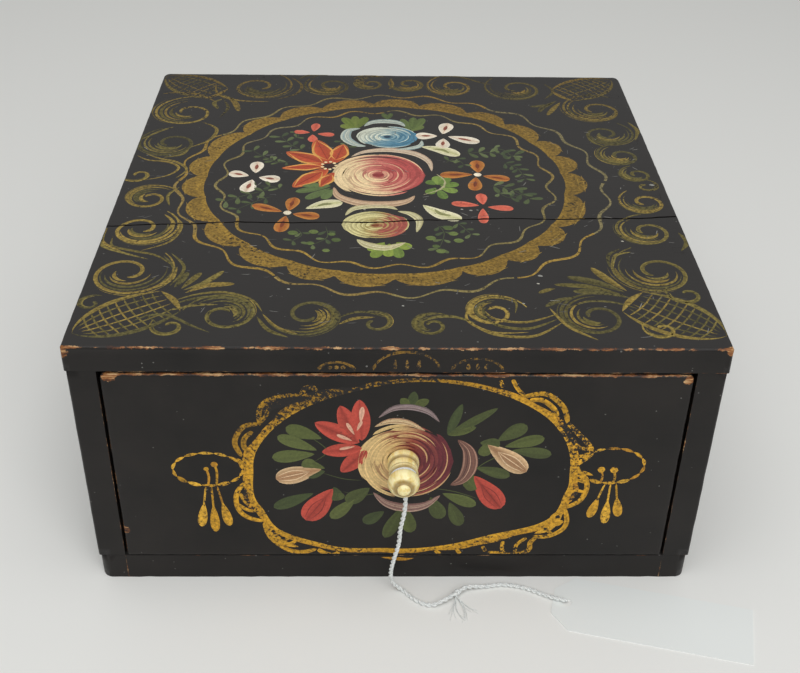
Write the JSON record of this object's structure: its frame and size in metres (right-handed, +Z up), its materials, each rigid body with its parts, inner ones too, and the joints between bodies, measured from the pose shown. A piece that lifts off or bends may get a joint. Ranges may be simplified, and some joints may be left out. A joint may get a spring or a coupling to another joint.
{
  "type": "ditty box",
  "caption": "Low black-painted wooden box for papers and keepsakes, with flower ornament, a boarded top and a dovetailed front drawer on a turned knob.",
  "frame": {"origin": "middle of the case's underside, on the table, without the knob, string and tag", "axes": "+Z up; +Y towards the back of the case; the drawer opens along -Y; +X to the right seen from the front"},
  "size_m": [0.2783, 0.314, 0.122],
  "materials": {
    "black_painted_wood": "aged black paint, satin, worn to bare wood on the arrises",
    "bare_wood": "bare softwood, darkened by age",
    "iron_nails": "cut iron nails, dull and painted over or lightly rusted",
    "turned_bone": "turned bone, yellowed, with dark crevices",
    "cotton_string": "white twisted cotton",
    "tag_card": "plain white card"
  },
  "bodies": {
    "case": {"bottom_board": "black_painted_wood", "left_side": "black_painted_wood", "right_side": "black_painted_wood", "back_board": "black_painted_wood", "top_front_board": "black_painted_wood", "top_rear_board": "black_painted_wood", "top_nails": "iron_nails", "bottom_nails": "iron_nails", "back_nails": "iron_nails"},
    "drawer": {"drawer_front": "black_painted_wood", "drawer_left_side": "bare_wood", "drawer_right_side": "bare_wood", "drawer_back": "bare_wood", "drawer_bottom": "bare_wood", "drawer_brads": "iron_nails", "knob": "turned_bone", "string_hitch": "cotton_string", "tag_string": "cotton_string", "string_knot": "cotton_string", "tag": "tag_card"}
  },
  "joints": [
    {"name": "drawer_slide", "type": "slide", "parent": "case", "child": "drawer", "axis": [0, -1, 0], "range_m": [0, 0.19]}
  ]
}
